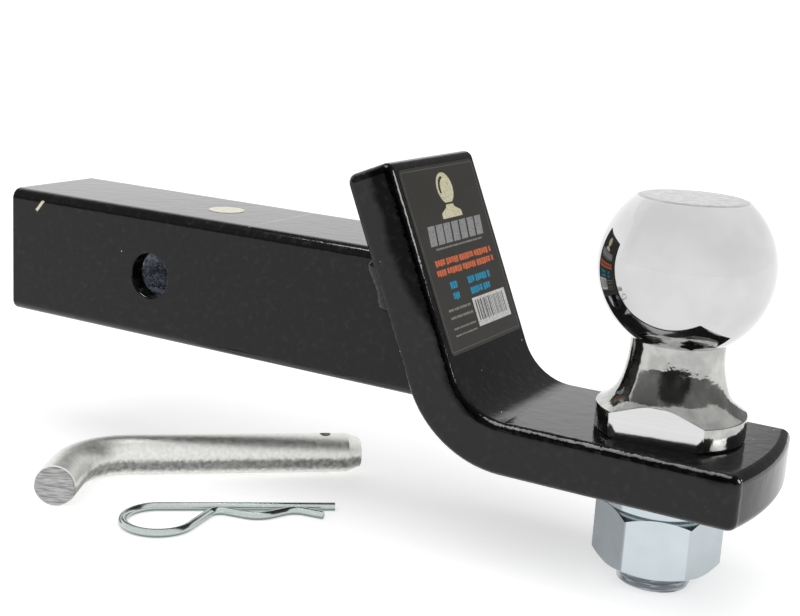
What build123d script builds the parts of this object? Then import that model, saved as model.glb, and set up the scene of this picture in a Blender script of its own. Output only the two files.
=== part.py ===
from build123d import *
import math
import os

os.makedirs("parts", exist_ok=True)

# A drop ball mount for a square receiver, with its hitch ball, washer and nut, and the hitch pin
# and hairpin clip that lock it in the receiver, which lie loose beside it.
# The origin is the middle of the pin hole. +X runs along the shank to the ball, +Y across it, +Z up.

# Driving dimensions, in millimetres and degrees

# Shank: a square tube, open at the rear
tube_size = 50.8
tube_wall = 6.35
tube_corner_radius = 4.2
tube_inner_corner_radius = 2.0
tube_behind_pin = 72.3
tube_end_break = 0.5
pin_hole_diameter = 17.5
pin_hole_edge_radius = 0.7

# Drop plate: a thick bar bent into a leaning riser and a level platform
plate_overhang = 6.35
plate_thickness = 19.05
plate_edge_radius = 3.4
drop = 50.8
riser_lean = 23.07
riser_length = 76.1
bend_radius = 21.6
pin_to_ball = 205.3
ball_to_bend = 47.9
ball_to_front = 37.6
front_arc_radius = 128.0
ball_hole_clearance = 0.8

# Weld beads
weld_leg = 5.5
side_weld_leg = 6.0
side_weld_top_gap = 3.0
side_weld_bottom = 3.0
weld_crown = 0.8

# Hitch ball, forged in one piece with its threaded shank
ball_diameter = 58.74
ball_centre_height = 56.9
ball_flat_diameter = 36.5
ball_flat_edge_radius = 1.0
neck_diameter = 31.75
flare_radius = 17.5
flange_diameter = 50.8
flange_rim_height = 8.6
flange_bottom_chamfer = 1.0
wrench_flat_width = 40.0
wrench_flat_turn = 5.0
shank_diameter = 25.4
shank_length = 54.0
shank_end_chamfer = 0.6
thread_pitch = 1.814
thread_depth = 1.1
thread_turns = 20

# Lock washer and hex nut
washer_outer_diameter = 40.0
washer_thickness = 6.35
washer_split = 1.2
washer_split_angle = 140.0
washer_split_slant = 20.0
washer_edge_radius = 0.8
nut_across_flats = 38.1
nut_height = 21.8
nut_turn = -42.7
nut_chamfer_angle = 30.0
nut_washer_face_ratio = 0.95
thread_clearance = 0.3

# Hitch pin, lying flat beside the shank
pin_diameter = 15.875
pin_straight = 93.0
pin_bend_radius = 24.0
pin_bend_angle = 75.0
pin_leg = 17.0
pin_tip_taper = 5.4
pin_tip_diameter = 11.6
pin_leg_chamfer = 0.8
clip_hole_diameter = 4.4
clip_hole_from_tip = 14.5
pin_tip_x = 67.9
pin_tip_y = 27.9
pin_turn = 41.7

# Hairpin clip, lying flat in front of the pin
clip_wire = 3.18
clip_loop_radius = 12.8
clip_arm = 65.8
clip_loop_exit_angle = 30.0
clip_throat = (20.6, 10.1)
clip_valley = (36.6, 2.2)
clip_hump = (50.1, 9.9)
clip_end = (60.5, 4.3)
clip_bend_radii = [5.0, 10.0, 8.0]
clip_loop_x = 40.7
clip_loop_y = -66.9
clip_turn = 38.5

# Printed label on the riser and round paper sticker on the tube
label_width = 55.6
label_height = 66.7
label_above_bend = 39.0
label_corner_radius = 2.0
label_thickness = 0.2
sticker_diameter = 14.0
sticker_x = 17.5
sticker_thickness = 0.15

# Places worked out from the driving dimensions
tube_half = tube_size / 2
plate_half = tube_half + plate_overhang
side_weld_height = plate_overhang - plate_edge_radius
platform_top = tube_half - drop
platform_bottom = platform_top - plate_thickness
bend_x = pin_to_ball - ball_to_bend
bend_z = platform_top + bend_radius
front_x = pin_to_ball + ball_to_front
lean = math.radians(riser_lean)
riser_up = Vector(-math.sin(lean), 0, math.cos(lean))
riser_out = Vector(math.cos(lean), 0, math.sin(lean))
bend_centre = Vector(bend_x, 0, bend_z)
riser_foot_front = bend_centre - riser_out * bend_radius
riser_foot_rear = bend_centre - riser_out * (bend_radius + plate_thickness)
floor = platform_top - shank_length


def rear_face_x(height):
    """X of the riser's rear face at a height."""
    return riser_foot_rear.X - (height - riser_foot_rear.Z) * math.tan(lean)


def bead_outline(corner, first_leg, second_leg):
    """A fillet weld's cross-section: two legs from a corner, closed by a slightly convex crown."""
    start = corner + first_leg
    end = corner + second_leg
    middle = (start + end) * 0.5
    outward = (middle - corner).normalized()
    Polyline(end, corner, start)
    ThreePointArc(start, middle + outward * weld_crown, end)


# Shank tube, its front end cut to lie against the riser
with BuildPart() as shank_tube:
    with BuildSketch(Plane.YZ.offset(-tube_behind_pin)):
        RectangleRounded(tube_size, tube_size, tube_corner_radius)
        RectangleRounded(
            tube_size - 2 * tube_wall,
            tube_size - 2 * tube_wall,
            tube_inner_corner_radius,
            mode=Mode.SUBTRACT,
        )
    extrude(amount=tube_behind_pin + rear_face_x(-tube_half))
    split(bisect_by=Plane(origin=riser_foot_rear, z_dir=riser_out), keep=Keep.BOTTOM)
    rear_end = shank_tube.faces().sort_by(Axis.X)[0]
    fillet(rear_end.edges(), tube_end_break)
    with BuildSketch(Plane.XZ):
        Circle(pin_hole_diameter / 2)
    extrude(amount=tube_size, both=True, mode=Mode.SUBTRACT)
    hole_rims = shank_tube.edges().filter_by(GeomType.CIRCLE).filter_by(
        lambda edge: abs(edge.radius - pin_hole_diameter / 2) < 0.01
        and abs(abs(edge.center().Y) - tube_half) < 0.01
    )
    fillet(hole_rims, pin_hole_edge_radius)
shank_tube.part.label = "shank_tube"
export_step(shank_tube.part, "parts/shank_tube.step")


# Drop plate, bent from one bar, its front end rounded in plan
front_corner_x = front_x - front_arc_radius + math.sqrt(front_arc_radius**2 - plate_half**2)
with BuildPart() as drop_plate:
    with BuildSketch(Plane.XZ):
        with BuildLine():
            Line((front_x, platform_top), (bend_x, platform_top))
            inner_bend = CenterArc((bend_x, bend_z), bend_radius, -90, riser_lean - 90)
            up = Vector(riser_up.X, riser_up.Z)
            out = Vector(riser_out.X, riser_out.Z)
            riser_top = inner_bend @ 1 + up * riser_length
            Polyline(inner_bend @ 1, riser_top, riser_top - out * plate_thickness)
            outer_bend = CenterArc(
                (bend_x, bend_z), bend_radius + plate_thickness, -90, riser_lean - 90
            )
            Line(riser_top - out * plate_thickness, outer_bend @ 1)
            Polyline(outer_bend @ 0, (front_x, platform_bottom), (front_x, platform_top))
        make_face()
    extrude(amount=plate_half, both=True)
    with BuildSketch():
        with BuildLine():
            Polyline(
                (front_corner_x, -plate_half),
                (0, -plate_half),
                (0, plate_half),
                (front_corner_x, plate_half),
            )
            ThreePointArc((front_corner_x, plate_half), (front_x, 0), (front_corner_x, -plate_half))
        make_face()
    extrude(amount=drop + riser_length, both=True, mode=Mode.INTERSECT)
    fillet(drop_plate.edges(), plate_edge_radius)
    with Locations((pin_to_ball, 0, platform_bottom)):
        Cylinder(
            (shank_diameter + ball_hole_clearance) / 2,
            3 * plate_thickness,
            mode=Mode.SUBTRACT,
        )
drop_plate.part.label = "drop_plate"
export_step(drop_plate.part, "parts/drop_plate.step")


# Weld bead across the top of the tube, in the acute corner under the riser
top_corner = Vector(rear_face_x(tube_half), tube_half)
with BuildPart() as weld_top:
    with BuildSketch(Plane.XZ):
        with BuildLine():
            bead_outline(top_corner, Vector(-weld_leg, 0), Vector(riser_up.X, riser_up.Z) * weld_leg)
        make_face()
    extrude(amount=tube_half - tube_corner_radius, both=True)
weld_top.part.label = "weld_top"
export_step(weld_top.part, "parts/weld_top.step")


# Weld bead under the tube, lying on the outside of the bend
outer_radius = bend_radius + plate_thickness
bottom_corner_x = bend_x - math.sqrt(outer_radius**2 - (bend_z + tube_half) ** 2)
bottom_slope = Vector(bend_z + tube_half, bottom_corner_x - bend_x).normalized()
with BuildPart() as weld_bottom:
    with BuildSketch(Plane.XZ):
        with BuildLine():
            bead_outline(
                Vector(bottom_corner_x, -tube_half),
                Vector(-weld_leg, 0),
                bottom_slope * weld_leg,
            )
        make_face()
        with Locations((bend_x, bend_z)):
            Circle(outer_radius, mode=Mode.SUBTRACT)
    extrude(amount=tube_half - tube_corner_radius, both=True)
weld_bottom.part.label = "weld_bottom"
export_step(weld_bottom.part, "parts/weld_bottom.step")


# Weld beads on the tube's sides, in the step between the tube and the wider riser
for side, name in ((-1, "weld_right_side"), (1, "weld_left_side")):
    bead_foot = Vector(rear_face_x(side_weld_bottom), side * tube_half, side_weld_bottom)
    bead_length = (tube_half - side_weld_top_gap - side_weld_bottom) / math.cos(lean)
    bead_plane = Plane(origin=bead_foot, x_dir=-riser_out, z_dir=riser_up)
    sideways = bead_plane.to_local_coords(bead_foot + Vector(0, side, 0))
    with BuildPart() as side_weld:
        with BuildSketch(bead_plane):
            with BuildLine():
                bead_outline(
                    Vector(0, 0),
                    Vector(side_weld_leg, 0),
                    Vector(0, sideways.Y) * side_weld_height,
                )
            make_face()
        extrude(amount=bead_length)
    side_weld.part.label = name
    export_step(side_weld.part, "parts/" + name + ".step")


# Hitch ball: ball, neck, flared base with two wrench flats, and threaded shank
ball_radius = ball_diameter / 2
neck_radius = neck_diameter / 2
flange_radius = flange_diameter / 2
shank_radius = shank_diameter / 2
flat_radius = ball_flat_diameter / 2
flat_height = ball_centre_height + math.sqrt(ball_radius**2 - flat_radius**2)
neck_top = ball_centre_height - math.sqrt(ball_radius**2 - neck_radius**2)
flare_centre_r = neck_radius + flare_radius
flare_top = flange_rim_height + math.sqrt(flare_radius**2 - (flare_centre_r - flange_radius) ** 2)
flare_angle = math.degrees(math.acos((flare_centre_r - flange_radius) / flare_radius))
thread_start = shank_end_chamfer - shank_length
thread_points = [(shank_radius - shank_end_chamfer, -shank_length), (shank_radius, thread_start)]
for turn in range(thread_turns):
    root_height = thread_start + (turn + 0.5) * thread_pitch
    thread_points.append((shank_radius - thread_depth, root_height))
    thread_points.append((shank_radius, root_height + thread_pitch / 2))
ball_plane = Plane(origin=(pin_to_ball, 0, platform_top), x_dir=(1, 0, 0), z_dir=(0, -1, 0))
with BuildPart() as hitch_ball:
    with BuildSketch(ball_plane):
        with BuildLine():
            Polyline(
                (0, flat_height),
                (0, -shank_length),
                *thread_points,
                (shank_radius, 0),
                (flange_radius - flange_bottom_chamfer, 0),
                (flange_radius, flange_bottom_chamfer),
                (flange_radius, flange_rim_height),
            )
            CenterArc((flare_centre_r, flare_top), flare_radius, 180 + flare_angle, -flare_angle)
            Line((neck_radius, flare_top), (neck_radius, neck_top))
            ThreePointArc(
                (neck_radius, neck_top),
                (ball_radius, ball_centre_height),
                (flat_radius, flat_height),
            )
            Line((flat_radius, flat_height), (0, flat_height))
        make_face()
    revolve(axis=Axis((pin_to_ball, 0, 0), (0, 0, 1)))
    flat_rim = hitch_ball.edges().filter_by(GeomType.CIRCLE).sort_by(Axis.Z)[-1]
    fillet(flat_rim, ball_flat_edge_radius)
    flat_cut_width = (flange_diameter - wrench_flat_width) / 2
    ball_seat = Plane(origin=(pin_to_ball, 0, platform_top)).rotated((0, 0, wrench_flat_turn))
    for side in (-1, 1):
        flat_plane = ball_seat.move(Location((0, side * wrench_flat_width / 2, 0)))
        with Locations(flat_plane):
            Box(
                flange_diameter,
                flat_cut_width,
                flare_top,
                align=(Align.CENTER, Align.MAX if side < 0 else Align.MIN, Align.MIN),
                mode=Mode.SUBTRACT,
            )
hitch_ball.part.label = "hitch_ball"
export_step(hitch_ball.part, "parts/hitch_ball.step")


# Split lock washer, squeezed flat between the platform and the nut
washer_bore = shank_radius + ball_hole_clearance / 2
with BuildPart() as lock_washer:
    with BuildSketch(Plane.XY.offset(platform_bottom - washer_thickness)):
        with Locations((pin_to_ball, 0)):
            Circle(washer_outer_diameter / 2)
            Circle(washer_bore, mode=Mode.SUBTRACT)
    extrude(amount=washer_thickness)
    outer_rims = lock_washer.edges().filter_by(GeomType.CIRCLE).filter_by(
        lambda edge: edge.radius > washer_bore + 1
    )
    fillet(outer_rims, washer_edge_radius)
    split_direction = Vector(1, 0, 0).rotate(Axis.Z, washer_split_angle)
    split_middle = Vector(pin_to_ball, 0, platform_bottom - washer_thickness / 2)
    split_plane = Plane(origin=split_middle, x_dir=split_direction, z_dir=(0, 0, 1))
    with Locations(split_plane.rotated((washer_split_slant, 0, 0))):
        Box(
            washer_outer_diameter,
            washer_split,
            2 * washer_thickness,
            align=(Align.MIN, Align.CENTER, Align.CENTER),
            mode=Mode.SUBTRACT,
        )
lock_washer.part.label = "lock_washer"
export_step(lock_washer.part, "parts/lock_washer.step")


# Hex nut, chamfered at both ends, its thread a plain bore just over the shank
nut_top = platform_bottom - washer_thickness
nut_corner_radius = nut_across_flats / math.sqrt(3)
face_radius = nut_washer_face_ratio * nut_across_flats / 2
chamfer_drop = (nut_corner_radius - face_radius) * math.tan(math.radians(nut_chamfer_angle))
nut_bore = shank_radius + thread_clearance
with BuildPart() as hex_nut:
    with BuildSketch(Plane.XY.offset(nut_top - nut_height)):
        with Locations((pin_to_ball, 0)):
            RegularPolygon(nut_corner_radius, 6, rotation=nut_turn)
    extrude(amount=nut_height)
    nut_plane = Plane(origin=(pin_to_ball, 0, nut_top), x_dir=(1, 0, 0), z_dir=(0, -1, 0))
    with BuildSketch(nut_plane):
        with BuildLine():
            Polyline(
                (nut_bore, -thread_depth),
                (nut_bore + thread_depth, 0),
                (face_radius, 0),
                (nut_corner_radius, -chamfer_drop),
                (nut_corner_radius, chamfer_drop - nut_height),
                (face_radius, -nut_height),
                (nut_bore + thread_depth, -nut_height),
                (nut_bore, thread_depth - nut_height),
                close=True,
            )
        make_face()
    revolve(axis=Axis((pin_to_ball, 0, 0), (0, 0, 1)), mode=Mode.INTERSECT)
hex_nut.part.label = "hex_nut"
export_step(hex_nut.part, "parts/hex_nut.step")


# Hitch pin: a bent round bar with a tapered tip and a cross hole for the clip
pin_radius = pin_diameter / 2
pin_along = Vector(-1, 0, 0).rotate(Axis.Z, pin_turn)
pin_plane = Plane(
    origin=(pin_tip_x, pin_tip_y, floor + pin_radius), x_dir=pin_along, z_dir=(0, 0, 1)
)
with BuildPart() as hitch_pin:
    with BuildLine(pin_plane):
        Line((pin_tip_taper, 0), (pin_straight, 0))
        pin_bend = CenterArc((pin_straight, pin_bend_radius), pin_bend_radius, -90, pin_bend_angle)
        PolarLine(pin_bend @ 1, pin_leg, pin_bend_angle)
    tip_plane = Plane(origin=pin_plane.origin, z_dir=pin_along)
    with BuildSketch(tip_plane.offset(pin_tip_taper)):
        Circle(pin_radius)
    sweep()
    leg_end = hitch_pin.faces().filter_by(GeomType.PLANE).sort_by(Axis.Y)[0]
    chamfer(leg_end.edges(), pin_leg_chamfer)
    with Locations(tip_plane):
        Cone(
            pin_tip_diameter / 2,
            pin_radius,
            pin_tip_taper,
            align=(Align.CENTER, Align.CENTER, Align.MIN),
        )
    with Locations(pin_plane):
        with Locations((clip_hole_from_tip, 0)):
            Cylinder(clip_hole_diameter / 2, 2 * pin_diameter, mode=Mode.SUBTRACT)
hitch_pin.part.label = "hitch_pin"
export_step(hitch_pin.part, "parts/hitch_pin.step")


# Hairpin clip: one wire with a straight arm, a round loop and a wavy arm
clip_along = Vector(1, 0, 0).rotate(Axis.Z, clip_turn)
clip_plane = Plane(
    origin=(clip_loop_x, clip_loop_y, floor + clip_wire / 2), x_dir=clip_along, z_dir=(0, 0, 1)
)
with BuildPart() as hairpin_clip:
    with BuildLine(clip_plane):
        Line((clip_arm, clip_loop_radius), (0, clip_loop_radius))
        clip_loop = CenterArc((0, 0), clip_loop_radius, 90, 270 - clip_loop_exit_angle)
        FilletPolyline(
            clip_loop @ 1,
            clip_throat,
            clip_valley,
            clip_hump,
            clip_end,
            radius=clip_bend_radii,
        )
    arm_end = clip_plane.from_local_coords(Vector(clip_arm, clip_loop_radius, 0))
    with BuildSketch(Plane(origin=arm_end, z_dir=-clip_along)):
        Circle(clip_wire / 2)
    sweep()
hairpin_clip.part.label = "hairpin_clip"
export_step(hairpin_clip.part, "parts/hairpin_clip.step")


# Printed label on the riser's front face
label_centre = riser_foot_front + riser_up * label_above_bend
with BuildPart() as product_label:
    with BuildSketch(Plane(origin=label_centre, x_dir=(0, 1, 0), z_dir=riser_out)):
        RectangleRounded(label_width, label_height, label_corner_radius)
    extrude(amount=label_thickness)
product_label.part.label = "product_label"
export_step(product_label.part, "parts/product_label.step")


# Round paper sticker on top of the tube
with BuildPart() as paper_sticker:
    with BuildSketch(Plane.XY.offset(tube_half)):
        with Locations((sticker_x, 0)):
            Circle(sticker_diameter / 2)
    extrude(amount=sticker_thickness)
paper_sticker.part.label = "paper_sticker"
export_step(paper_sticker.part, "parts/paper_sticker.step")
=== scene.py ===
# %% [markdown]
# # A drop ball mount with its hitch ball
# The real object is black-painted steel: a square tube that slides into a receiver, a thick bent
# plate, and a chromed ball held by a zinc-plated washer and nut. A bent hitch pin and a hairpin
# clip lie loose beside it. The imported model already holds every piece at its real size, so this
# script loads it as a fixed frame and gives it what a photographer would see: light, finishes,
# weld ripples, a screw thread and a printed label.

# %% Load the frame
import bpy, bmesh, math, random
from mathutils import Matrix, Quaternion, Vector, noise
from mathutils.geometry import interpolate_bezier


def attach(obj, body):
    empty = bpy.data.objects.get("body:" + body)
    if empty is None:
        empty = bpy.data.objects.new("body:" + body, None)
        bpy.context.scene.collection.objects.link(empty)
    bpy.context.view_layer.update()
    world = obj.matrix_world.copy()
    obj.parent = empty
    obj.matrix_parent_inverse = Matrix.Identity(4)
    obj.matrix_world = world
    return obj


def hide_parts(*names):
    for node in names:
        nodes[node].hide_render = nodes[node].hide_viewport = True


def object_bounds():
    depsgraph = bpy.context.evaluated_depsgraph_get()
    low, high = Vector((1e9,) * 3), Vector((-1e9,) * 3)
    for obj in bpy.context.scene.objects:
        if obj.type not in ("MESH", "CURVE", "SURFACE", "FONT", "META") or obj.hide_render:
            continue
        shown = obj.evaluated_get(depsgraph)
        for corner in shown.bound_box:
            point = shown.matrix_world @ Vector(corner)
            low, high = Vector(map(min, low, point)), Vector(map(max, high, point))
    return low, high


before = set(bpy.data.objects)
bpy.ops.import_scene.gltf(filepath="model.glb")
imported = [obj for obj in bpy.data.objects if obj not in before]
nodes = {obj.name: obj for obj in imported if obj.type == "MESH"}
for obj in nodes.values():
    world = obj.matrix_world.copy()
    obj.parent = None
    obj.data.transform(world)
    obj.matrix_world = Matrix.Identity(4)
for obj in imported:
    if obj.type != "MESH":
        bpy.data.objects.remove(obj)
cad_low, cad_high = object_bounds()
mm = 0.001
print("nodes:", ", ".join(sorted(nodes)))

# %% [markdown]
# ## Camera
# The camera stands in front and to the right of the ball, a little above it, and it is tipped
# a few degrees. A point to look at and a roll angle say that more plainly than three Euler
# angles, so the rotation is worked out from them.

# %% Camera
camera_place = Vector((342.3, -441.0, 117.1)) * mm
camera_aim = Vector((98.3, 0, -0.7)) * mm
camera_roll = math.radians(3.57)
camera_data = bpy.data.cameras.new("camera")
camera_data.lens = 62.64
camera_data.sensor_width = 36
camera_data.clip_start = 0.01
camera = bpy.data.objects.new("camera", camera_data)
camera.location = camera_place
camera.rotation_mode = "QUATERNION"
aimed = (camera_aim - camera_place).to_track_quat("-Z", "Y")
camera.rotation_quaternion = aimed @ Quaternion((0, 0, 1), camera_roll)
bpy.context.scene.collection.objects.link(camera)
bpy.context.scene.camera = camera
bpy.context.scene.view_settings.view_transform = "Standard"
print("camera to ball mount:", round((camera_aim - camera_place).length / mm), "mm")

# %% [markdown]
# ## Shader arithmetic
# A procedural finish is mostly sums: a mask times an amount, one noise less another. Writing
# those as Python expressions keeps them readable, so a small class wraps a socket and turns
# each operator into a Math node.


# %% Sockets that do arithmetic
class Signal:
    """One output socket of a shading, on which Python's operators add Math nodes."""

    def __init__(self, shading, socket):
        self.shading = shading
        self.socket = socket

    def math(self, operation, *values):
        settings = {"operation": operation}
        return self.shading.node("ShaderNodeMath", settings, dict(enumerate(values)))["Value"]

    def __add__(self, other):
        return self.math("ADD", self, other)

    def __sub__(self, other):
        return self.math("SUBTRACT", self, other)

    def __rsub__(self, other):
        return self.math("SUBTRACT", other, self)

    def __mul__(self, other):
        return self.math("MULTIPLY", self, other)

    def __abs__(self):
        return self.math("ABSOLUTE", self)

    __radd__ = __add__
    __rmul__ = __mul__

    def larger(self, other):
        return self.math("MAXIMUM", self, other)

    def root(self):
        return self.math("SQRT", self)

    def sine(self):
        return self.math("SINE", self)

    def rise(self, low, high):
        """0 below low, 1 above high, and a smooth step between them."""
        settings = {"interpolation_type": "SMOOTHSTEP"}
        sockets = {"Value": self, "From Min": low, "From Max": high}
        return self.shading.node("ShaderNodeMapRange", settings, sockets)["Result"]

    def fall(self, low, high):
        """1 below low, 0 above high."""
        return 1 - self.rise(low, high)


def along(first, second, degrees):
    """How far two coordinates reach along a direction, by its angle from the first axis."""
    turn = math.radians(degrees)
    return first * math.cos(turn) + second * math.sin(turn)


# %% [markdown]
# Every other node comes from one method of its shading, which is the node tree of a material,
# the world or a light. A finish is a material's shading, with the patterns that the paint,
# chrome and zinc below are mixed from.


# %% Node trees
class Shading:
    """A node tree that is being built."""

    def __init__(self, tree):
        self.tree = tree

    def node(self, kind, settings, sockets):
        """Add a node: its settings first, then its sockets' values or links."""
        made = self.tree.nodes.new(kind)
        for key, value in settings.items():
            setattr(made, key, value)
        for key, value in sockets.items():
            shown = [s for s in made.inputs if s.enabled and s.name == key]
            target = shown[0] if shown else made.inputs[key]
            if isinstance(value, Signal):
                self.tree.links.new(value.socket, target)
            else:
                target.default_value = value
        return {output.name: Signal(self, output) for output in made.outputs if output.enabled}

    def place(self):
        """Where the surface is, in metres from the pin hole, the same on every piece."""
        return self.node("ShaderNodeTexCoord", {}, {})["Object"]

    def split(self, vector):
        """The X, Y and Z of a vector signal."""
        parts = self.node("ShaderNodeSeparateXYZ", {}, {"Vector": vector})
        return [parts[axis] for axis in "XYZ"]

    def axes(self):
        """The place's X, Y and Z as three signals, in millimetres."""
        return [part * (1 / mm) for part in self.split(self.place())]


# %% Materials
class Finish(Shading):
    """A material under construction, with its Principled shader ready."""

    def __init__(self, name, **fixed):
        self.material = bpy.data.materials.new(name)
        self.material.use_nodes = True
        super().__init__(self.material.node_tree)
        self.shader = self.tree.nodes["Principled BSDF"]
        for socket_name, value in fixed.items():
            self.shader.inputs[socket_name.replace("_", " ")].default_value = value

    def noise(self, size, detail=2):
        """Soft noise from 0 to 1 whose lumps are about size across."""
        sockets = {"Vector": self.place(), "Scale": 1 / size, "Detail": detail}
        return self.node("ShaderNodeTexNoise", {}, sockets)["Fac"]

    def streaks(self, size, detail=2):
        """Noise whose lumps have a different size along each axis."""
        settings = {"operation": "DIVIDE"}
        divided = self.node("ShaderNodeVectorMath", settings, {0: self.place(), 1: size})
        sockets = {"Vector": divided["Vector"], "Scale": 1, "Detail": detail}
        return self.node("ShaderNodeTexNoise", {}, sockets)["Fac"]

    def specks(self, spacing, radius):
        """1 inside small round specks scattered about spacing apart, 0 elsewhere."""
        sockets = {"Vector": self.place(), "Scale": 1 / spacing}
        away = self.node("ShaderNodeTexVoronoi", {}, sockets)["Distance"]
        return away.fall(0.6 * radius / spacing, radius / spacing)

    def blend(self, amount, first, second):
        """A colour between two, by an amount."""
        sockets = {"Factor": amount, "A": first, "B": second}
        return self.node("ShaderNodeMix", {"data_type": "RGBA"}, sockets)["Result"]

    def feed(self, **signals):
        """Drive the shader's own sockets, such as Base_Color or Roughness."""
        for socket_name, signal in signals.items():
            self.tree.links.new(signal.socket, self.shader.inputs[socket_name.replace("_", " ")])

    def relief(self, height, depth):
        """Bump the surface by a height signal, depth metres for each 1 of it."""
        bump = self.node("ShaderNodeBump", {}, {"Height": height, "Distance": depth})
        self.feed(Normal=bump["Normal"])

    def on(self, *names):
        """Give the finish to CAD nodes."""
        for name in names:
            nodes[name].data.materials.clear()
            nodes[name].data.materials.append(self.material)
        print(self.material.name, "on", ", ".join(names))


def grey(level):
    return (level, level, level, 1)


# %% [markdown]
# ## Light and floor
# Gloss paint and chrome show their surroundings more than their own colour, so the set decides
# most of the picture. Behind and to the left stands a long bright wall, which whitens the tops
# of the tube and the platform where they are seen at a shallow angle. The other walls and the
# ceiling are dim, which keeps every rounded edge of the black paint dark, and a black curtain
# hangs in front, which gives the forged base its dark patch. The camera alone sees plain white,
# so the floor has no horizon.

# %% The studio's walls
wall_direction = 150
wall_glow = 1.2
curtain_direction = -72
curtain_glow = 0.03
dim_glow = 0.24
ceiling_glow = 0.16


def studio_glow(shading, toward):
    """How bright the studio is in each direction."""
    x, y, z = shading.split(toward)
    wall = along(x, y, wall_direction).rise(0.58, 0.73) * z.fall(0.5, 0.75)
    curtain = along(x, y, curtain_direction).rise(0.72, 0.86)
    room = dim_glow + (ceiling_glow - dim_glow) * z.rise(0.35, 0.8)
    room = room * (1 - curtain) + curtain_glow * curtain
    return wall * wall_glow + (1 - wall) * room


# %% World
backdrop_white = 1.2
world = bpy.data.worlds.new("studio")
bpy.context.scene.world = world
world.use_nodes = True
surround = Shading(world.node_tree)
every_way = surround.node("ShaderNodeTexCoord", {}, {})["Generated"]
for_camera = surround.node("ShaderNodeLightPath", {}, {})["Is Camera Ray"]
glow = for_camera * backdrop_white + (1 - for_camera) * studio_glow(surround, every_way)
background = world.node_tree.nodes["Background"]
background.inputs["Color"].default_value = grey(1)
world.node_tree.links.new(glow.socket, background.inputs["Strength"])
print("world nodes:", len(world.node_tree.nodes))

# %% [markdown]
# A mirror ball in such a studio would be half black. A product photographer puts a light tent
# around the bright metal for that, and leaves it off the paint. Light linking does the same: a
# large glowing dome that only the bright pieces receive makes up what the studio lacks. It is
# clear to everything else, so it costs the paint nothing. It glows a little more towards the
# horizon, to meet the brightness of the floor, so the ball shows no line where the two meet.

# %% Light tent for the bright metal
tented = bpy.data.collections.new("tented")
painted = bpy.data.collections.new("painted")
forged = bpy.data.collections.new("forged")
tent_radius = 20.0
tent_mesh = bpy.data.meshes.new("tent")
tent_build = bmesh.new()
bmesh.ops.create_icosphere(tent_build, subdivisions=5, radius=tent_radius)
tent_build.to_mesh(tent_mesh)
tent_build.free()
tent = bpy.data.objects.new("tent", tent_mesh)
bpy.context.scene.collection.objects.link(tent)
tent.visible_camera = False
tent.visible_diffuse = False
tent.visible_shadow = False
tent.light_linking.receiver_collection = tented
print("tent faces:", len(tent_mesh.polygons))

# %% The tent's glowing cloth
tent_glow = 1.06
tent_horizon_glow = 0.06
tent_cloth = bpy.data.materials.new("tent_cloth")
tent_cloth.use_nodes = True
tent_cloth.node_tree.nodes.clear()
cloth = Shading(tent_cloth.node_tree)
outward = cloth.node("ShaderNodeVectorMath", {"operation": "NORMALIZE"}, {0: cloth.place()})
upward = cloth.split(outward["Vector"])[2]
wanted = tent_glow + tent_horizon_glow * upward.fall(0.0, 0.5)
missing = (wanted - studio_glow(cloth, outward["Vector"])).larger(0.0)
light = cloth.node("ShaderNodeEmission", {}, {"Strength": missing})["Emission"]
clear = cloth.node("ShaderNodeBsdfTransparent", {}, {})["BSDF"]
both = cloth.node("ShaderNodeAddShader", {}, {0: light, 1: clear})["Shader"]
cloth.node("ShaderNodeOutputMaterial", {}, {"Surface": both})
tent_mesh.materials.append(tent_cloth)
print("tent nodes:", len(tent_cloth.node_tree.nodes))

# %% [markdown]
# The highlights along the plate's edges come from two small bright lamps that light the paint
# alone, and a wide dim one overhead fills the forged base. A soft sun as wide as the sky does
# the rest, so that shadows stay faint.

# %% Lamps
lamp_distance = 1.2


def square_lamp(name, direction, size, radiance, receivers):
    """A square lamp seen from the platform in a direction, aimed back at it."""
    data = bpy.data.lights.new(name, "AREA")
    data.size = size
    data.energy = radiance * math.pi * size * size
    lamp = bpy.data.objects.new(name, data)
    outward = Vector(direction).normalized()
    lamp.location = Vector((0.2, 0, 0)) + outward * lamp_distance
    lamp.rotation_euler = outward.to_track_quat("Z", "Y").to_euler()
    lamp.light_linking.receiver_collection = receivers
    bpy.context.scene.collection.objects.link(lamp)
    print("lamp", name, "energy", round(data.energy, 1))


square_lamp("overhead_strip", (-0.3, -0.2, 0.93), 0.6, 14.0, painted)
square_lamp("right_strip", (0.86, 0.2, 0.38), 0.55, 16.0, painted)
square_lamp("base_fill", (0.1, 0.2, 1.0), 3.2, 0.5, forged)

sun_data = bpy.data.lights.new("soft_sun", "SUN")
sun_data.energy = 2.2
sun_data.angle = math.radians(80)
sun = bpy.data.objects.new("soft_sun", sun_data)
sun.rotation_euler = (math.radians(20), math.radians(15), 0)
sun.visible_glossy = False
bpy.context.scene.collection.objects.link(sun)

# %% [markdown]
# The floor glows a little, as a light table does, so that it stays white under the object.

# %% Floor
floor_half = 12.0
corners = [(-1, -1), (1, -1), (1, 1), (-1, 1)]
floor_points = [(x * floor_half, y * floor_half, cad_low.z) for x, y in corners]
floor_mesh = bpy.data.meshes.new("floor")
floor_mesh.from_pydata(floor_points, [], [(0, 1, 2, 3)])
floor = bpy.data.objects.new("floor", floor_mesh)
bpy.context.scene.collection.objects.link(floor)
floor_finish = Finish(
    "floor_white",
    Base_Color=grey(0.72),
    Roughness=0.9,
    Emission_Color=grey(1),
    Emission_Strength=0.53,
)
floor_mesh.materials.append(floor_finish.material)
print("floor at", round(cad_low.z / mm, 1), "mm")

# %% [markdown]
# ## Mesh helpers
# A turned piece is a grid: one ring of points for each height of its profile. The same grid of
# rings makes a weld bead or a screw thread, so one function joins rings of points into faces.


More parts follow.
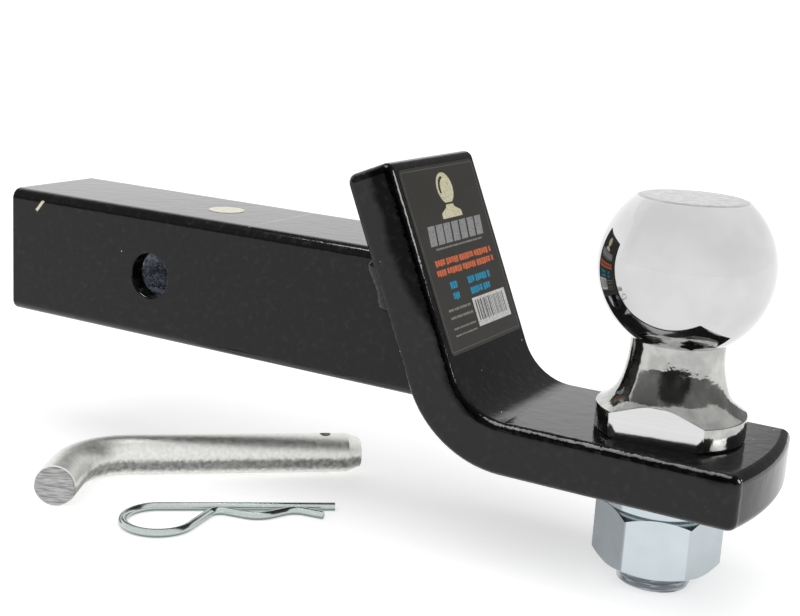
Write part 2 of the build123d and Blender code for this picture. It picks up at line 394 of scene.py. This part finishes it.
# %% Rings of points into a piece
def ring_mesh(name, rings, crease=40):
    """A closed mesh over rings of points, its edges sharp where they turn more than crease."""
    mesh = bpy.data.meshes.new(name)
    made = bmesh.new()
    rows = [[made.verts.new(point) for point in ring] for ring in rings]
    count = len(rows[0])
    for lower, upper in zip(rows, rows[1:]):
        for i in range(count):
            j = (i + 1) % count
            made.faces.new((lower[i], lower[j], upper[j], upper[i]))
    made.faces.new(rows[0][::-1])
    made.faces.new(rows[-1])
    bmesh.ops.remove_doubles(made, verts=made.verts, dist=1e-6)
    bmesh.ops.dissolve_degenerate(made, dist=1e-6, edges=made.edges)
    bmesh.ops.recalc_face_normals(made, faces=made.faces)
    for face in made.faces:
        face.smooth = True
    for edge in made.edges:
        edge.smooth = edge.calc_face_angle(0) < math.radians(crease)
    made.to_mesh(mesh)
    made.free()
    return mesh


def piece(mesh, body, finish):
    """An object for a finished mesh, riding on a body."""
    made = bpy.data.objects.new(mesh.name, mesh)
    bpy.context.scene.collection.objects.link(made)
    mesh.materials.append(finish.material)
    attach(made, body)
    print(mesh.name, "on", body, "with", len(mesh.polygons), "faces")
    return made


def arc(centre, radius, start, end, count):
    """Points along an arc, from one angle in degrees to another."""
    turns = [math.radians(start + (end - start) * i / count) for i in range(count + 1)]
    return [
        (centre[0] + radius * math.cos(turn), centre[1] + radius * math.sin(turn))
        for turn in turns
    ]


# %% [markdown]
# ## Black paint
# The mount is sprayed in gloss black over hot-rolled steel. The paint is never flat: it sits in
# soft lumps a few millimetres across, with a finer orange peel on top, and those lumps are what
# breaks up the highlight along each rounded edge. A few specks of grit are caught in it, and
# dust dulls it in places.

# %% Black paint
black = grey(0.003)
dusty_black = grey(0.011)
grit = (0.55, 0.54, 0.5, 1)
grit_radius = 0.3 * mm


def black_paint(name, grit_spacing=11 * mm, extra_height=None, recolour=None):
    """Gloss black, with more height or colour from the functions of the piece it covers."""
    finish = Finish(name, IOR=1.43)
    dust = finish.noise(2.5 * mm, 5).rise(0.5, 0.75)
    dusty = finish.blend(dust, black, dusty_black)
    colour = finish.blend(finish.specks(grit_spacing, grit_radius), dusty, grit)
    if recolour:
        colour = recolour(finish, colour)
    lumps = finish.noise(5.5 * mm)
    peel = finish.noise(1.6 * mm)
    height = 0.8 * lumps + 0.2 * peel
    if extra_height:
        height = height + extra_height(finish)
    haze = finish.noise(35 * mm, 4)
    finish.feed(Base_Color=colour, Roughness=0.03 + 0.15 * haze)
    finish.relief(height, 0.12 * mm)
    print(name, "nodes:", len(finish.tree.nodes))
    return finish


# %% [markdown]
# The tube has two marks of its own: a chip near its rear end that shows the pale primer, and a
# faint lap line across the top where two passes of the spray meet. The spray barely reaches the
# inside, where the bare steel shows through. The same finish does all of it: the colour and
# metalness change with the place.

# %% Marks on the tube
tube_half = 25.4
inner_skin = 19.4
lap_line_x = 44.8
primer = (0.62, 0.56, 0.42, 1)
chip_middle = (-57.1, 20.2)
chip_lean = 49
chip_half_length = 3.4
chip_half_width = 0.7


def lap_line(finish):
    x, y, z = finish.axes()
    on_top = z.rise(tube_half - 0.6, tube_half - 0.2)
    return 3 * on_top * x.rise(lap_line_x - 0.3, lap_line_x + 0.3)


def primer_chip(finish):
    """1 inside a ragged short stroke on the tube's right side."""
    x, y, z = finish.axes()
    dx = x - chip_middle[0]
    dz = z - chip_middle[1]
    ragged = 0.5 * finish.noise(0.8 * mm)
    from_middle = abs(along(dx, dz, chip_lean)) + ragged
    from_stroke = abs(along(dx, dz, chip_lean - 90)) + ragged
    chip = from_middle.fall(chip_half_length - 0.4, chip_half_length)
    chip = chip * from_stroke.fall(chip_half_width, chip_half_width + 0.3)
    return chip * y.fall(0.1 - tube_half, 0.2 - tube_half)


def well_inside(finish):
    x, y, z = finish.axes()
    within_y = abs(y).fall(inner_skin - 0.4, inner_skin)
    return within_y * abs(z).fall(inner_skin - 0.4, inner_skin)


# %% Tube paint
def tube_colours(finish, colour):
    """The paint, the primer in its chip, and bare steel with mill scale inside."""
    scale = finish.noise(2 * mm, 5).rise(0.3, 0.8)
    bare_steel = finish.blend(scale, (0.12, 0.13, 0.145, 1), (0.5, 0.53, 0.58, 1))
    chipped = finish.blend(primer_chip(finish), colour, primer)
    return finish.blend(well_inside(finish), chipped, bare_steel)


tube_paint = black_paint("tube_paint", 24 * mm, lap_line, tube_colours)
side = abs(tube_paint.axes()[1]).rise(tube_half - 0.3, tube_half - 0.1)
tube_paint.feed(Metallic=0.8 * well_inside(tube_paint) + 0.28 * side)
tube_paint.on("shank_tube")
painted.objects.link(nodes["shank_tube"])

# %% [markdown]
# The plate was sheared and bent before it was painted. Along the front edge of its sides runs
# a ragged black band, wide on the riser and narrow along the platform: painted shade, standing
# in for the dark reflection of the rounded edge. A dielectric's shine has a fixed strength,
# but a black metal has almost none, so the band is painted into the metalness. The distance
# from the front face is a radius in the bend, and a straight distance on either side of it.

# %% The plate's shape
lean = 23.07
riser_up = Vector((-math.sin(math.radians(lean)), 0, math.cos(math.radians(lean))))
riser_out = Vector((math.cos(math.radians(lean)), 0, math.sin(math.radians(lean))))
bend_centre = Vector((157.4, 0, -3.8))
bend_inside = 21.6
bend_outside = 40.65
plate_half = 31.75
narrow_band = 2.6
wide_band = 9.6
print("plate", bend_outside - bend_inside, "mm thick, leaning", lean, "degrees")


def edge_lumps(finish):
    """Stronger lumps where the paint runs over the rounded edges of the sides."""
    from_middle = abs(finish.axes()[1])
    rounded = from_middle.rise(plate_half - 3.6, plate_half - 2.0)
    rounded = rounded * from_middle.fall(plate_half - 0.5, plate_half - 0.05)
    return 2.2 * rounded * finish.noise(3.2 * mm)


# Painted shade: the mask of the dark band along the plate's front edges.
def edge_shade_band(finish):
    """1 near the front face, ragged and wider up the riser, and 0 behind."""
    x, y, z = finish.axes()
    behind_x = bend_centre.x - x
    behind_z = bend_centre.z - z
    above_bend = 0 - along(behind_x, behind_z, lean + 90)
    in_bend = above_bend.fall(-0.1, 0.1) * behind_x.rise(-0.1, 0.1)
    radius = (behind_x * behind_x + behind_z * behind_z).root()
    straight = along(behind_x, behind_z, lean).larger(behind_z)
    from_front = in_bend * radius + (1 - in_bend) * straight - bend_inside
    width = narrow_band + (wide_band - narrow_band) * above_bend.rise(5, 50)
    ragged = 5 * (finish.noise(9 * mm, 2) - 0.5)
    return (from_front + ragged - width).fall(-2.2, 1.6)


# %% Plate paint
plate_paint = black_paint("plate_paint", 9 * mm, edge_lumps)
side = abs(plate_paint.axes()[1]).rise(plate_half - 3.0, plate_half - 0.4)
# Painted shade: the band darkens the sides' front edges through the metalness.
plate_paint.feed(Metallic=side * (0.12 + 0.73 * edge_shade_band(plate_paint)))
plate_paint.on("drop_plate")
painted.objects.link(nodes["drop_plate"])

# %% [markdown]
# ## Weld beads
# Each bead is a row of overlapping puddles, so its face is crossed by crescent ripples. A bump
# map would leave its outline straight, so each bead is a grid whose crown rises and falls with
# the ripples and whose ends taper off, and the four meshes replace the plain CAD beads.

# %% A rippled bead
ripple_pitch = 2.4
ripple_depth = 0.22
ripple_lag = 2.2
crown_height = 1.1
taper_length = 2.5
station_step = 0.35
crown_steps = 12
weld_paint = black_paint("weld_paint")


def weld_bead(name, node, start, end, first_leg, second_leg):
    """A rippled fillet bead from start to end, along the corner that two legs spread from."""
    draw = random.Random(name)
    offset = draw.random() * ripple_pitch
    length = (end - start).length
    stations = int(length / station_step)
    crown_way = (first_leg + second_leg).normalized()
    rings = []
    for i in range(stations + 1):
        at = i / stations * length
        swell = math.sqrt(min(1, min(at, length - at) / taper_length + 0.02))
        size = swell * (1 + 0.25 * noise.noise(Vector((at / 6, offset, 0))))
        corner = start.lerp(end, at / length)
        ring = [corner]
        for j in range(crown_steps + 1):
            t = j / crown_steps
            bow = 4 * t * (1 - t)
            phase = (at + ripple_lag * (bow - 1) + offset) / ripple_pitch
            crown = crown_height * bow * swell - ripple_depth * (phase % 1) ** 2 * bow
            ring.append(corner + (first_leg.lerp(second_leg, t)) * size + crown_way * crown)
        rings.append([point * mm for point in ring])
    made = piece(ring_mesh(name, rings, crease=50), "mount", weld_paint)
    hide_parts(node)
    painted.objects.link(made)


# %% [markdown]
# The side beads stand in the step between the tube and the wider plate, the top bead fills the
# sharp corner under the riser, and the bottom bead lies on the outside of the bend.

# %% The four beads
rear_foot = bend_centre - riser_out * bend_outside
back_leg = Vector((-5.2, 0, 0))
bead_half = 22
bottom_drop = bend_centre.z + tube_half
bottom_x = bend_centre.x - math.sqrt(bend_outside**2 - bottom_drop**2)
bottom_slope = Vector((bottom_drop, 0, bottom_x - bend_centre.x)).normalized()


def rear_face(height, y):
    """A point on the riser's rear face."""
    back = (height - rear_foot.z) * math.tan(math.radians(lean))
    return Vector((rear_foot.x - back, y, height))


for side, hand in ((-1, "right"), (1, "left")):
    low_end = rear_face(3.2, side * tube_half)
    high_end = rear_face(22.2, side * tube_half)
    legs = (Vector((-5.0, 0, 0)), Vector((0, side * 2.9, 0)))
    weld_bead(f"side_bead_{hand}", f"weld_{hand}_side", low_end, high_end, *legs)
near_end = rear_face(tube_half, -bead_half)
far_end = rear_face(tube_half, bead_half)
weld_bead("top_bead", "weld_top", near_end, far_end, back_leg, riser_up * 5.0)
near_end = Vector((bottom_x, -bead_half, -tube_half))
far_end = Vector((bottom_x, bead_half, -tube_half))
bend_leg = bottom_slope * 5.0 - riser_out * 0.4
weld_bead("bottom_bead", "weld_bottom", near_end, far_end, back_leg, bend_leg)

# %% [markdown]
# ## Hitch ball
# The ball, neck, base and threaded shank are one forging. A mirror shows every facet, so the
# forging is rebuilt from its profile at a finer pitch than CAD's mesh, in two pieces that meet
# at the crease under the ball. Each ring of the base is a circle cut by the two wrench flats,
# with its points kept on the flats' corners.

# %% Rings of the forging
ball_x = 205.3
platform_top = -25.4
wrench_apothem = 20.0
wrench_turn = 5
flat_steps = 16
round_steps = 44


def ball_place(radius, angle, height):
    """A point about the ball's axis, by its height above the platform."""
    x = ball_x + radius * math.cos(angle)
    return Vector((x, radius * math.sin(angle), platform_top + height)) * mm


def forged_ring(radius, height, flats=False):
    """A ring of points about the ball's axis, cut by the wrench flats where it is wide."""
    cut = flats and radius > wrench_apothem
    half = math.acos(wrench_apothem / radius) if cut else 1e-4
    reach = wrench_apothem if cut else radius
    points = []
    for degrees in (90 + wrench_turn, 270 + wrench_turn):
        middle = math.radians(degrees)
        for i in range(flat_steps):
            lean_over = half * (2 * i / flat_steps - 1)
            points.append(ball_place(reach / math.cos(lean_over), middle + lean_over, height))
        for i in range(round_steps):
            angle = middle + half + (math.pi - 2 * half) * i / round_steps
            points.append(ball_place(radius, angle, height))
    return points


# %% [markdown]
# The plating is a true mirror on the ball. The flat on top is a turned face, left satin, with
# the tool's rings still in it and the scuffs of a few couplings.

# %% Ball chrome
ball_radius = 29.37
ball_centre = 56.9
flat_radius = 18.25
flat_top = ball_centre + math.sqrt(ball_radius**2 - flat_radius**2)
tool_ring_rate = 4

ball_chrome = Finish("ball_chrome", Metallic=1.0)
x, y, z = ball_chrome.axes()
turned = z.rise(platform_top + flat_top - 0.35, platform_top + flat_top - 0.2)
scuffs = ball_chrome.noise(3 * mm, 5).rise(0.3, 0.75)
turned_colour = ball_chrome.blend(scuffs, grey(0.28), grey(0.38))
clouds = ball_chrome.noise(16 * mm, 2).rise(0.3, 0.7)
ball_colour = ball_chrome.blend(clouds, grey(0.57), grey(0.63))
from_axis = ((x - ball_x) * (x - ball_x) + y * y).root()
tool_rings = (from_axis * tool_ring_rate).sine()
ball_chrome.feed(
    Base_Color=ball_chrome.blend(turned, ball_colour, turned_colour),
    Roughness=0.03 + 0.03 * scuffs + turned * (0.2 - 0.1 * scuffs),
)
swell = ball_chrome.noise(14 * mm, 1)
ball_chrome.relief(swell + 0.06 * tool_rings * turned, 0.08 * mm)
print("flat top at", round(flat_top, 1), "mm above the platform")

# %% [markdown]
# The neck and base were left as forged before plating, so the mirror there is hammered: broad
# dents, finer ones inside them, and grey stains where the chrome is thin. The two wrench flats
# were milled afterwards, so they are truer and brighter.

# %% Base chrome
base_chrome = Finish("base_chrome", Metallic=1.0)
x, y, z = base_chrome.axes()
across_flats = abs(along(x - ball_x, y, 90 + wrench_turn))
milled = across_flats.rise(wrench_apothem - 0.25, wrench_apothem - 0.05)
stains = base_chrome.noise(7 * mm, 4).rise(0.35, 0.7)
as_forged = base_chrome.blend(stains, (0.38, 0.38, 0.37, 1), (0.54, 0.55, 0.52, 1))
cutter_marks = base_chrome.streaks((40 * mm, 40 * mm, 0.5 * mm), 3)
milled_colour = base_chrome.blend(cutter_marks, grey(0.58), grey(0.7))
base_chrome.feed(
    Base_Color=base_chrome.blend(milled, as_forged, milled_colour),
    Roughness=0.05 + 0.1 * stains * (1 - milled) + 0.12 * cutter_marks * milled,
)
dents = 0.6 * base_chrome.noise(8 * mm, 1) + 0.18 * base_chrome.noise(3 * mm, 2)
base_chrome.relief(dents * (1 - 0.85 * milled), 0.55 * mm)
print("wrench flats", 2 * wrench_apothem, "mm across, turned", wrench_turn, "degrees")

# %% Ball
neck_radius = 15.875
neck_top = ball_centre - math.sqrt(ball_radius**2 - neck_radius**2)
start_angle = math.degrees(math.asin((neck_top - ball_centre) / ball_radius))
end_angle = math.degrees(math.acos((flat_radius + 0.4) / ball_radius))
head_profile = arc((0, ball_centre), ball_radius, start_angle, end_angle, 72)
head_profile += [(flat_radius - 0.2, flat_top - 0.25), (flat_radius - 0.9, flat_top)]
head_profile += [(flat_radius * step / 6, flat_top) for step in (5, 4, 3, 2, 1)]
head_rings = [forged_ring(radius, height) for radius, height in head_profile]
head = piece(ring_mesh("ball_head", head_rings), "ball", ball_chrome)
tented.objects.link(head)

# %% [markdown]
# The base flares out of the neck in an arc. Above it the neck is a little fuller than a plain
# cylinder, and it only runs straight in a short collar under the ball. A smooth curve between
# two handles draws that.

# %% Neck and base
flange_radius = 25.4
flange_rim = 8.6
rim_round = 0.8
flare_radius = 17.5
flare_side = neck_radius + flare_radius
flare_top = flange_rim + math.sqrt(flare_radius**2 - (flare_side - flange_radius) ** 2)
flare_angle = math.degrees(math.acos((flare_side - flange_radius + 0.6) / flare_radius))
fuller_angle = 40.2
collar = 2.6

rim = (flange_radius - rim_round, flange_rim - 0.4)
flare = (flare_side, flare_top)
base_profile = [(flange_radius - 1.2, 0), (flange_radius - 0.3, 0.5), (flange_radius, 1.2)]
base_profile += arc(rim, rim_round, 0, 50, 5)
base_profile += arc(flare, flare_radius, 180 + flare_angle, 180 + fuller_angle, 16)
low_end = Vector(base_profile[-1])
high_end = Vector((neck_radius, neck_top - collar))
fuller_turn = math.radians(90 + fuller_angle)
low_handle = low_end + 3.5 * Vector((math.cos(fuller_turn), math.sin(fuller_turn)))
high_handle = high_end - Vector((0, 6.0))
curve = interpolate_bezier(low_end, low_handle, high_handle, high_end, 30)
base_profile += [tuple(point) for point in curve[1:]]
base_profile += [(neck_radius, neck_top)]
base_rings = [forged_ring(radius, height, flats=True) for radius, height in base_profile]
base = piece(ring_mesh("ball_base", base_rings), "ball", base_chrome)
forged.objects.link(base)

# %% [markdown]
# The thread is a true right-hand helix: each ring of the shank is cut deepest where the helix
# passes it, an eighth of a turn further on each time, and the last thread runs out at the end.

# %% Threaded shank
shank_radius = 12.7
shank_length = 54.0
pitch = 1.814
thread_depth = 1.1
thread_turns = 20
per_turn = 8
ring_points = 96
ring_turns = [i / ring_points for i in range(ring_points)]
thread_rings = []
for step in range(thread_turns * per_turn + 1):
    from_end = step * pitch / per_turn
    height = from_end - shank_length
    end_radius = shank_radius - 0.7 + 1.2 * from_end
    ring = []
    for turn in ring_turns:
        phase = (height / pitch - turn) % 1
        cut = thread_depth * (1 - abs(2 * phase - 1)) ** 1.1
        radius = min(shank_radius - cut, end_radius)
        ring.append(ball_place(radius, 2 * math.pi * turn, height))
    thread_rings.append(ring)
for height in (thread_turns * pitch - shank_length + 0.6, 0.0):
    ring = [ball_place(shank_radius, 2 * math.pi * turn, height) for turn in ring_turns]
    thread_rings.append(ring)
shank_steel = Finish("shank_steel", Base_Color=(0.4, 0.42, 0.44, 1), Metallic=1.0)
shank_steel.feed(Roughness=0.22 + 0.2 * shank_steel.noise(2 * mm, 4))
shank = piece(ring_mesh("ball_shank", thread_rings), "ball", shank_steel)
tented.objects.link(shank)
for part in (head, base, shank):
    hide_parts("hitch_ball")

# %% [markdown]
# ## Zinc plating
# The washer and nut are bright zinc with a blue cast, satin from the plating, with a pinkish
# bloom here and there. Two of the nut's faces are painted darker, as painted shade.

# %% Nut and washer
nut_apothem = 19.05
nut_turn = -42.7
# The colour of the painted shade on two of the nut's faces.
painted_shade_zinc = (0.17, 0.19, 0.2, 1)
bloom_colour = (0.6, 0.56, 0.56, 1)


def on_face(finish, degrees):
    """1 on the hex face whose normal points that way, 0 elsewhere."""
    x, y, z = finish.axes()
    return along(x - ball_x, y, degrees).rise(nut_apothem - 0.7, nut_apothem - 0.2)


nut_zinc = Finish("nut_zinc", Metallic=1.0)
cloud = nut_zinc.noise(9 * mm, 3)
zinc_blue = nut_zinc.blend(cloud, (0.5, 0.57, 0.6, 1), (0.62, 0.67, 0.7, 1))
bloom = nut_zinc.noise(12 * mm, 2).rise(0.58, 0.75)
tinted = nut_zinc.blend(0.6 * bloom, zinc_blue, bloom_colour)
# Painted shade: two of the hex faces are darkened in the colour.
shaded_faces = 0.62 * on_face(nut_zinc, nut_turn - 90) * (0.7 + 0.6 * cloud)
shaded_faces = shaded_faces + 0.25 * on_face(nut_zinc, nut_turn + 30)
nut_zinc.feed(
    Base_Color=nut_zinc.blend(shaded_faces, tinted, painted_shade_zinc),
    Roughness=0.18 + 0.14 * nut_zinc.noise(5 * mm, 5),
)
nut_zinc.relief(nut_zinc.noise(1.2 * mm, 3), 0.03 * mm)
nut_zinc.on("hex_nut", "lock_washer")

# %% [markdown]
# The pin has a mottled zinc over a rough bar. A ragged band along its lower side is painted
# darker, as painted shade, and the end of its leg is sawn.

# %% Hitch pin
leg_direction = -63.3
pin_points = [vertex.co / mm for vertex in nodes["hitch_pin"].data.vertices]
leg_end = max(along(point.x, point.y, leg_direction) for point in pin_points)

pin_zinc = Finish("pin_zinc", Metallic=1.0)
x, y, z = pin_zinc.axes()
mottle = pin_zinc.noise(1.8 * mm, 4).rise(0.3, 0.7)
# Painted shade: a ragged band low on the pin is darkened in its colour, in the dark zinc below.
ragged_height = z + 2.6 * (pin_zinc.noise(1.5 * mm, 5) - 0.5)
painted_shade_band = ragged_height.rise(-77.6, -74.6) * ragged_height.fall(-72.6, -70.4)
sawn = along(x, y, leg_direction).rise(leg_end - 0.5, leg_end - 0.3)
saw_marks = pin_zinc.streaks((5 * mm, 5 * mm, 0.4 * mm), 3)
bright = pin_zinc.blend(mottle, (0.7, 0.7, 0.67, 1), (0.84, 0.84, 0.81, 1))
dark = pin_zinc.blend(mottle, (0.1, 0.1, 0.098, 1), (0.26, 0.26, 0.25, 1))
bar_colour = pin_zinc.blend(0.9 * painted_shade_band, bright, dark)
sawn_colour = pin_zinc.blend(saw_marks.rise(0.3, 0.7), grey(0.22), grey(0.5))
pin_zinc.feed(
    Base_Color=pin_zinc.blend(sawn, bar_colour, sawn_colour),
    Roughness=0.4 + 0.1 * mottle,
)
pin_zinc.relief(pin_zinc.noise(0.9 * mm, 4) + 2 * sawn * saw_marks, 0.02 * mm)
pin_zinc.on("hitch_pin")

# %% [markdown]
# The clip is drawn wire, so its zinc runs in faint lines along it. Its underside is painted
# darker, as painted shade.

# %% Hairpin clip
clip_zinc = Finish("clip_zinc", Metallic=1.0)
drawn = clip_zinc.streaks((6 * mm, 0.5 * mm, 0.5 * mm), 3)
# Painted shade: the wire's underside is darkened in its colour.
underside_shade = clip_zinc.axes()[2].fall(-78.6, -77.7)
drawn_colour = clip_zinc.blend(drawn, (0.4, 0.45, 0.44, 1), (0.6, 0.66, 0.64, 1))
clip_zinc.feed(
    Base_Color=clip_zinc.blend(0.85 * underside_shade, drawn_colour, (0.13, 0.16, 0.16, 1)),
    Roughness=0.14 + 0.12 * drawn,
)
clip_zinc.on("hairpin_clip")
for name in ("hex_nut", "lock_washer", "hitch_pin", "hairpin_clip"):
    tented.objects.link(nodes[name])

# %% [markdown]
# ## Label and sticker
# The real label carries a maker's print. This one keeps its layout and colours with plain
# shapes only: a ball pictogram, slanted slabs, rows of bars and a block of stripes. Each
# colour is a thin layer of real geometry, so it stays crisp however the model is exported.

# %% Label film
label_film = Finish("label_film")
film_clouds = label_film.noise(12 * mm, 4)
label_film.feed(
    Base_Color=label_film.blend(film_clouds, (0.03, 0.028, 0.024, 1), (0.045, 0.042, 0.036, 1)),
    Roughness=0.34 + 0.1 * label_film.noise(4 * mm, 3),
)
label_film.relief(label_film.noise(18 * mm, 1), 0.05 * mm)
label_film.on("product_label")

# %% Printing in thin layers
film_thickness = 0.2
ink_root = 0.02
foot_front = bend_centre - riser_out * bend_inside


def on_label(across, up, raised):
    """A point on the label, from its middle line and its height above the bend."""
    lifted = riser_out * (film_thickness + raised)
    return (foot_front + riser_up * up + lifted + Vector((0, across, 0))) * mm


def print_layer(name, outlines, colour, thickness=0.03):
    """Thin raised shapes of one ink, each outline a list of (across, up) points."""
    mesh = bpy.data.meshes.new(name)
    made = bmesh.new()
    for outline in outlines:
        low = [made.verts.new(on_label(across, up, -ink_root)) for across, up in outline]
        high = [made.verts.new(on_label(across, up, thickness)) for across, up in outline]
        made.faces.new(low[::-1])
        made.faces.new(high)
        for i in range(len(outline)):
            j = (i + 1) % len(outline)
            made.faces.new((low[i], low[j], high[j], high[i]))
    bmesh.ops.recalc_face_normals(made, faces=made.faces)
    made.to_mesh(mesh)
    made.free()
    ink = Finish(name, Roughness=0.4)
    worn = ink.noise(0.7 * mm, 4).rise(0.3, 0.55)
    darker = tuple(0.6 * part for part in colour[:3]) + (1,)
    ink.feed(Base_Color=ink.blend(worn, darker, colour))
    piece(mesh, "mount", ink)


def bar(left, right, bottom, top, slant=0.0):
    """A four-cornered bar, its top edge shifted sideways by slant."""
    return [(left, bottom), (right, bottom), (right + slant, top), (left + slant, top)]


# %% Border line
label_low, label_high, label_half = 5.7, 72.4, 27.8
border_inset = 1.0
border_width = 0.35
border_low = label_low + border_inset
border_high = label_high - border_inset
border_side = label_half - border_inset
border_bars = [
    bar(-border_side, border_side, border_low, border_low + border_width),
    bar(-border_side, border_side, border_high - border_width, border_high),
    bar(-border_side, -border_side + border_width, border_low, border_high),
    bar(border_side - border_width, border_side, border_low, border_high),
]
print_layer("print_border", border_bars, (0.12, 0.12, 0.11, 1))

# %% [markdown]
# The pictogram is a hitch ball on its foot. A dark glint and a dark band across its neck are
# printed over it, in a layer a little thicker than the pictogram's own.

# %% Ball pictogram and slabs
overprint = 0.05
emblem_x = 1.2
disc = [(emblem_x + x, y) for x, y in arc((0, 63.3), 5.8, -62, 242, 36)]
stem = [(emblem_x - 2.7, 57.4), (emblem_x - 3.1, 56.2), (emblem_x - 7.4, 54.4)]
foot = [(emblem_x - 7.4, 52.4), (emblem_x + 7.4, 52.4), (emblem_x + 7.4, 54.4)]
pictogram = disc + stem + foot + [(emblem_x + 3.1, 56.2), (emblem_x + 2.7, 57.4)]
print_layer("print_emblem", [pictogram], (0.76, 0.72, 0.5, 1))
glint_out = [(emblem_x + x, y) for x, y in arc((0, 63.3), 4.6, 100, 200, 16)]
glint_in = [(emblem_x + x, y) for x, y in arc((0.9, 63.0), 4.2, 200, 100, 16)]
neck_band = bar(emblem_x - 3.6, emblem_x + 3.6, 57.3, 58.0)
dark_marks = [glint_out + glint_in, neck_band]
print_layer("print_emblem_dark", dark_marks, (0.05, 0.045, 0.04, 1), overprint)

slab_edges = [-20.5, -14.6, -8.9, -2.9, 3.1, 9.2, 15.2]
slabs = [bar(left, left + 4.9, 43.9, 51.0, 1.4) for left in slab_edges]
print_layer("print_slabs", slabs, (0.33, 0.33, 0.33, 1))

# %% [markdown]
# From afar a line of print is a row of small uneven bars, with wider gaps between words. The
# bars are drawn from a seed, so each line is different but always the same.


# %% Lines of print
def words(left, right, bottom, top, seed, letter=1.5):
    """A row of letter-sized bars with uneven gaps."""
    draw = random.Random(seed)
    bars = []
    at = left
    left_in_word = draw.randint(3, 6)
    while at < right - 0.5 * letter:
        end = min(right, at + letter * draw.uniform(0.75, 1.2))
        foot = bottom + (top - bottom) * draw.choice((0, 0, 0, 0.12))
        bars.append(bar(at, end, foot, top))
        left_in_word -= 1
        at = end + (0.22 * letter if left_in_word else 0.75 * letter)
        left_in_word = left_in_word or draw.randint(3, 6)
    return bars


orange_bars = words(-21, 22, 36.6, 38.9, 3) + words(-21.6, 23, 33.1, 35.4, 8)
print_layer("print_orange", orange_bars, (0.76, 0.17, 0.06, 1))
blue_bars = words(-15, -9.6, 27.9, 30.4, 2) + words(-15, -9.6, 23.9, 26.4, 4)
blue_bars += words(-1.6, 16.6, 27.9, 30.4, 6) + words(-1.6, 15.4, 23.9, 26.4, 5)
print_layer("print_blue", blue_bars, (0.01, 0.32, 0.53, 1))
fine_bars = []
fine_lines = [(20.4, 21.3), (17.6, 18.5), (13.9, 14.6), (11.5, 12.1)]
for seed, (bottom, top) in enumerate(fine_lines, 20):
    fine_bars += words(-21.2, -4.6, bottom, top, seed, 0.8)
fine_bars += words(-17.5, 18.0, 42.2, 42.9, 24, 0.8)
print_layer("print_fine", fine_bars, (0.28, 0.28, 0.26, 1))

# %% Striped block
block_left, block_right, block_bottom, block_top = -2.7, 23.4, 12.0, 22.5
block = bar(block_left, block_right, block_bottom, block_top)
print_layer("print_block", [block], (0.75, 0.75, 0.73, 1))
draw = random.Random(11)
stripes = []
at = block_left + 1.6
while at < block_right - 2:
    width = draw.choice((0.35, 0.35, 0.6, 0.9))
    stripes.append(bar(at, at + width, block_bottom + 2.0, block_top - 1.0))
    at += width + draw.choice((0.4, 0.6, 0.9))
print_layer("print_stripes", stripes, (0.1, 0.1, 0.1, 1), overprint)

# %% [markdown]
# A small paper sticker lies beside the label. It is matte, faded and a little yellowed.

# %% Paper sticker
paper = Finish("sticker_paper", Roughness=0.7)
faded = paper.noise(2.5 * mm, 4).rise(0.35, 0.7)
paper.feed(Base_Color=paper.blend(faded, (0.95, 0.94, 0.8, 1), (0.84, 0.78, 0.62, 1)))
paper.on("paper_sticker")
